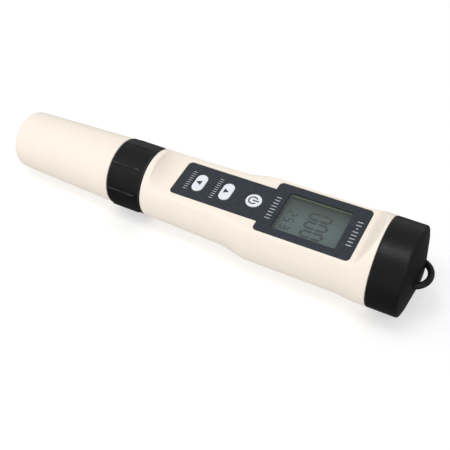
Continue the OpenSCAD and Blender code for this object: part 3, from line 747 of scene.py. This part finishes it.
def collar_radius(i, r, angle):
    """The ring's radius with its low, rounded ribs."""
    x = collar_profile[i][0]
    if r < COLLAR_R - 0.01 or not RIB_LOW <= x <= RIB_HIGH:
        return r
    turn = min(abs((angle - rib + math.pi) % (2 * math.pi) - math.pi) for rib in RIB_ANGLES)
    across = max(0.0, 1 - (turn * COLLAR_R / RIB_HALF) ** 2) ** 0.5
    along = max(0.0, min(1.0, (x - RIB_LOW) / RIB_END, (RIB_HIGH - x) / RIB_END)) ** 0.5
    return r + RIB_H * across * along


collar_mesh = joined("collar", [
    lathe("collar", collar_profile, collar_angles(), collar_radius),
    thread_ridge("collar_thread", COLLAR_BORE_R, -1, FRONT_THREAD, math.pi),
])
piece("collar_skin", smooth(collar_mesh, 40), "collar", ribbed, ["collar_ring"])

# ---------------------------------------------------------------- battery cap
RIM_END = RIM_X + 12.8
CONE_END = RIM_END + 3.3
CONE_FLAT, CONE_WALL = 4.0, 2.0
CONE_SLOPE = (CONE_END - RIM_END) / (RIM_R - CONE_FLAT)
CUP_R, CUP_X = 13.5, NECK_END + 1.05
EYE_X, EYE_R, EYE_BAR = CONE_END - 3.35, 6.65, 1.35


def torus(name, x, r, bar, n, m):
    """Level ring about a station on the axis, with n sections of m points."""
    verts = []
    for a in even(n):
        for b in even(m):
            out = r + bar * math.cos(b)
            verts.append((x + out * math.cos(a), out * math.sin(a), bar * math.sin(b)))
    return mesh_from(name, verts, ring_faces([i * m for i in range(n)], m, True))


def battery_cap():
    """Round rim and shallow cone, with the lanyard eye and the inner thread."""
    def cone(r):
        return CONE_END - (r - CONE_FLAT) * CONE_SLOPE

    profile = [(CONE_END, 0), (CONE_END, 1.6), (CONE_END, CONE_FLAT - 0.9),
               (CONE_END - 0.06, CONE_FLAT), (CONE_END - 0.24, CONE_FLAT + 0.9)]
    profile += [(cone(r), r) for r in (7, 9.5, 12, 14.5, 16.5)]
    profile += arc(RIM_END - 0.9, RIM_R - 0.9, 0.9, 15, 90, 9)
    profile += [(RIM_END - d, RIM_R) for d in (3, 6, 9)]
    profile += arc(RIM_X + 0.35, RIM_R - 0.35, 0.35, 90, 180, 5)
    profile += [(RIM_X, RIM_BORE_R + 0.6), (RIM_X + 0.5, RIM_BORE_R), (CUP_X, RIM_BORE_R), (CUP_X, CUP_R)]
    profile += [(cone(r) - CONE_WALL, r) for r in (CUP_R, 9, CONE_FLAT)] + [(CONE_END - CONE_WALL, 0)]
    cap = lathe("battery_cap", profile, even(192), closed=False)
    cap = boolean(cap, [torus("eye", EYE_X, EYE_R, EYE_BAR, 96, 28)], "UNION")
    return joined("battery_cap", [
        cap,
        thread_ridge("cap_thread", RIM_BORE_R, -1, REAR_THREAD, math.pi),
    ])


piece("battery_cap_skin", smooth(battery_cap()), "battery_closure", black,
      ["battery_cap"])

# ---------------------------------------------------------------- label and printing
INK = 0.02
label_mesh = plate("label", [label_outline(0), window_outline(0, 0.6)] + key_holes, -LABEL_T, 0, 0.05)
piece("label_sheet", smooth(label_mesh), "pen_body", label_film, ["face_label"])


def bars(x, height, start, end, count, stroke, dash=None):
    """A row of plain upright bars across the label, in place of wording. dash is a short one."""
    out = []
    for i in range(count):
        tall = height * (0.35 if i == dash else 1.0)
        y = start + (end - start) * i / (count - 1)
        out.append(rect(x + height / 2, y, tall, stroke, 0.08, 2))
    return out


marks = (bars(LABEL_X + 4.2, 1.7, 5.0, -5.0, 9, 0.26) + bars(LABEL_X + 16.7, 1.8, 5.4, -5.4, 10, 0.26)
         + bars(LABEL_STEP + 1.9, 2.3, 5.6, -6.1, 8, 0.36)
         + bars(LABEL_END - 4.2, 2.3, 6.3, -6.3, 8, 0.38, dash=2))
piece("label_marks", plate("marks", marks, 0, INK), "pen_body", light_ink)

# ---------------------------------------------------------------- display
PANE_LOW = SEAT + 0.03
LCD_LEN, LCD_W = WINDOW_LEN + 5, WINDOW_W + 4
LCD_TOP, LCD_T = -2.75, 1.6

pane_mesh = plate("pane", [window_outline(2.5, 0.2)], PANE_LOW, -LABEL_T, 0.08)
piece("display_pane", smooth(pane_mesh), "pen_body", pane, ["display_window"])
tape_mesh = plate("tape", [window_outline(2.4, 0.2), window_outline(0, 0.3)], SEAT, PANE_LOW)
piece("pane_tape", tape_mesh, "pen_body", tape_film)
lcd_mesh = plate("lcd", [rect(WINDOW_MID, 0, LCD_LEN, LCD_W, 0.1)], LCD_TOP - LCD_T, LCD_TOP, 0.06)
piece("lcd_panel", smooth(lcd_mesh), "pen_body", panel, ["lcd_glass"])

SEGMENTS = {"0": "abcdef", "2": "abged", "5": "afgcd", "3": "abgcd"}
SLANT = -0.03
# station of a row's feet, then its figures' height, width and stroke
LARGE = (WINDOW_MID - 3.25, 10.2, 4.3, 1.25)
SMALL = (WINDOW_MID - 12.05, 4.8, 2.7, 0.86)


def digit(which, left, foot, height, width, stroke):
    """Seven-segment figure that reads along -Y with its top towards +X."""
    half, gap = stroke / 2, stroke * 0.1
    low, mid, top = half, height / 2, height - half
    near, far = half, width - half

    def place(points):
        return [(foot + u, left - v - SLANT * u) for u, v in points]

    def tall(v, u0, u1):
        u0, u1 = u0 + gap, u1 - gap
        return place([(u0, v), (u0 + half, v - half), (u1 - half, v - half), (u1, v),
                      (u1 - half, v + half), (u0 + half, v + half)])

    def wide(u, v0, v1):
        v0, v1 = v0 + gap, v1 - gap
        return place([(u, v0), (u + half, v0 + half), (u + half, v1 - half), (u, v1),
                      (u - half, v1 - half), (u - half, v0 + half)])

    made = {"a": wide(top, near, far), "b": tall(far, mid, top), "c": tall(far, low, mid),
            "d": wide(low, near, far), "e": tall(near, low, mid), "f": tall(near, mid, top),
            "g": wide(mid, near, far)}
    return [made[segment] for segment in SEGMENTS[which]]


large = []
for left in (6.1, 1.3, -3.5):
    large += digit("0", left, *LARGE)
large.append(circle(LARGE[0] + 0.5, 1.55, 0.4, 16))
piece("lcd_large_figures", plate("large", large, LCD_TOP, LCD_TOP + INK), "pen_body", segment_dark)

small = []
for figure, left in (("2", 3.3), ("5", -0.2), ("3", -4.2)):
    small += digit(figure, left, *SMALL)
small.append(circle(SMALL[0] + 0.4, -3.55, 0.22, 16))
piece("lcd_small_figures", plate("small", small, LCD_TOP, LCD_TOP + INK), "pen_body", segment_pale)


def painted_reflection_line(start, end, low, high):
    """Thin bright line painted along the window's far wall as a reflection of the window's edges, from
    and to places about its middle.
    """
    x0, x1, y = WINDOW_MID + start, WINDOW_MID + end, WINDOW_W / 2 - 0.42
    return prism([(x0, y), (x1, y), (x1, y + 0.1), (x0, y + 0.1)], low, high)


# painted reflections of the window's and the pane's edges, along the far wall
painted_reflection_lines = [painted_reflection_line(-13.25, -1.15, -1.9, -1.6), painted_reflection_line(-13.25, 13.25, -0.86, -0.6),
              painted_reflection_line(4.95, 12.95, -2.05, -1.65)]
piece("window_painted_reflections", joined("lines", painted_reflection_lines), "pen_body", painted_reflection_green)

# ---------------------------------------------------------------- keys
KEY_TOP, FLANGE_TOP, FLANGE, POST_R, POST_END = 0.3, -2.45, 0.7, 1.5, -5.2
FLANGE_LOW = FLANGE_TOP - FLANGE
# (growth of the key's outline, height), from the flange up to the rounded rim
KEY_SHAPE = ((FLANGE, FLANGE_LOW), (FLANGE, FLANGE_TOP), (0, FLANGE_TOP), (0, KEY_TOP - 0.22),
             (-0.05, KEY_TOP - 0.12), (-0.13, KEY_TOP - 0.04), (-0.25, KEY_TOP), (-0.5, KEY_TOP))
SIGN_HALF = 1.25


def key(which, outline, x, sign):
    """A key with a rounded rim, its hidden flange and post, a face inlay and a printed sign. The rim is
    painted lighter than the inlay, as a highlight along its edge.
    """
    name = which + "_key"
    top = loft(name, [(outline(x, grow), height) for grow, height in KEY_SHAPE])
    post = prism(circle(x, 0, POST_R, 32), POST_END, FLANGE_LOW)
    face = plate("face", [outline(x, -0.42)], KEY_TOP, KEY_TOP + INK)
    piece(name + "_cap", smooth(joined(name, [top, post]), 40), name, key_rim_highlight,
          ["key_" + which])
    piece(name + "_face", smooth(face), name, key_face)
    piece(name + "_sign", plate("sign", sign, KEY_TOP + INK, KEY_TOP + 2 * INK), name, dark_ink)


def arrow(base, point):
    return [(base, -SIGN_HALF), (point, 0), (base, SIGN_HALF)]


power_ring = arc(POWER_X - 0.2, -0.1, 2.1, 35, 325, 40) + arc(POWER_X - 0.2, -0.1, 1.5, 325, 35, 40)
power_bar = rect(POWER_X + 1.0, -0.1, 2.7, 0.62, 0.08, 2)
key("mode", long_key, MODE_X, [arrow(MODE_X + 0.7, MODE_X - 1.8)])
key("hold", long_key, HOLD_X, [arrow(HOLD_X - 1.2, HOLD_X + 1.1)])
key("power", round_key, POWER_X, [power_ring, power_bar])

# ---------------------------------------------------------------- floor
# The stage runs up towards the tip, from the battery cap's rim to the probe cap's mouth. The barrel's
# flare stands up to 1.1 mm below it.
REST_X = RIM_X + 0.35
FLOOR_SLOPE = 0.0348
FLOOR_SIDE, FLOOR_CELLS = 4.0, 24


def floor_paint():
    m = Nodes("floor")
    m.put(Emission_Color=(1.0, 1.0, 1.0, 1.0), Emission_Strength=0.5, Specular_IOR_Level=0.1)
    base = m.mix(m.spread(m.noise(4, 3), 0.0, 1.0), srgb(188, 188, 187), srgb(192, 192, 192))
    return m.finish(base, 0.8, m.bump(m.noise(600, 3), 0.05, 0.0001))


def floor_mesh():
    n = FLOOR_CELLS
    places = [FLOOR_SIDE * (i / n - 0.5) for i in range(n + 1)]
    verts = [(x, y, 0) for x in places for y in places]
    corners = [i * (n + 1) + j for i in range(n) for j in range(n)]
    me = bpy.data.meshes.new("floor")
    me.from_pydata(verts, [], [(a, a + n + 1, a + n + 2, a + 1) for a in corners])
    me.materials.append(floor_paint())
    return me


floor = bpy.data.objects.new("floor", floor_mesh())
scene.collection.objects.link(floor)
floor.matrix_world = (Matrix.Translation((ORIGIN_X + REST_X * MM, 0, AXIS_Z - RIM_R * MM))
                      @ Matrix.Rotation(math.atan(FLOOR_SLOPE), 4, "Y"))
floor.visible_glossy = False

# ---------------------------------------------------------------- light
LIGHT_TARGET = Vector((0, 0, 0.02))
scene.view_settings.view_transform = "Standard"


def studio_dome():
    """Pale surroundings that darken smoothly below the horizon."""
    scene.world = bpy.data.worlds.new("studio")
    scene.world.use_nodes = True
    tree = scene.world.node_tree
    direction = tree.nodes.new("ShaderNodeTexCoord").outputs["Generated"]
    height = tree.nodes.new("ShaderNodeSeparateXYZ")
    level = tree.nodes.new("ShaderNodeMapRange")
    for key_name, value in (("From Min", -0.3), ("From Max", 0.05), ("To Min", 0.12), ("To Max", 0.67)):
        level.inputs[key_name].default_value = value
    background = tree.nodes["Background"].inputs
    background["Color"].default_value = (1.0, 1.0, 1.0, 1.0)
    tree.links.new(direction, height.inputs["Vector"])
    tree.links.new(height.outputs["Z"], level.inputs["Value"])
    tree.links.new(level.outputs["Result"], background["Strength"])


def soft_box(name, place, side, power):
    """Square area light, in metres and watts, that faces the middle of the pen."""
    data = bpy.data.lights.new(name, "AREA")
    data.shape, data.size, data.energy = "SQUARE", side, power
    ob = bpy.data.objects.new(name, data)
    scene.collection.objects.link(ob)
    ob.location = place
    ob.rotation_mode = "QUATERNION"
    ob.rotation_quaternion = (LIGHT_TARGET - Vector(place)).to_track_quat("-Z", "Y")


studio_dome()
soft_box("key", (-0.05, -0.1, 0.8), 0.28, 1.75)
soft_box("fill_left", (-0.65, -0.3, 0.5), 0.6, 1.2)
soft_box("fill_right", (0.6, -0.4, 0.55), 0.6, 0.95)

# ---------------------------------------------------------------- camera
# Metres from the tip's end of the axis, and degrees: turned about Z, tilted up from straight down,
# and rolled.
CAMERA_PLACE = Vector((0.22440, -0.19703, 0.26005))
CAMERA_TURN, CAMERA_TILT, CAMERA_ROLL = 32.146, 40.687, -5.741

camera_data = bpy.data.cameras.new("camera")
camera_data.lens, camera_data.sensor_width = 66.1, 36.0
camera_data.shift_x, camera_data.shift_y = -0.0030, -0.0066
camera_data.clip_start, camera_data.clip_end = 0.01, 20.0
camera = bpy.data.objects.new("camera", camera_data)
scene.collection.objects.link(camera)
camera.matrix_world = (Matrix.Translation(CAMERA_PLACE + Vector((ORIGIN_X, 0, AXIS_Z)))
                       @ Matrix.Rotation(math.radians(CAMERA_TURN), 4, "Z")
                       @ Matrix.Rotation(math.radians(CAMERA_TILT), 4, "X")
                       @ Matrix.Rotation(math.radians(CAMERA_ROLL), 4, "Z"))
scene.camera = camera
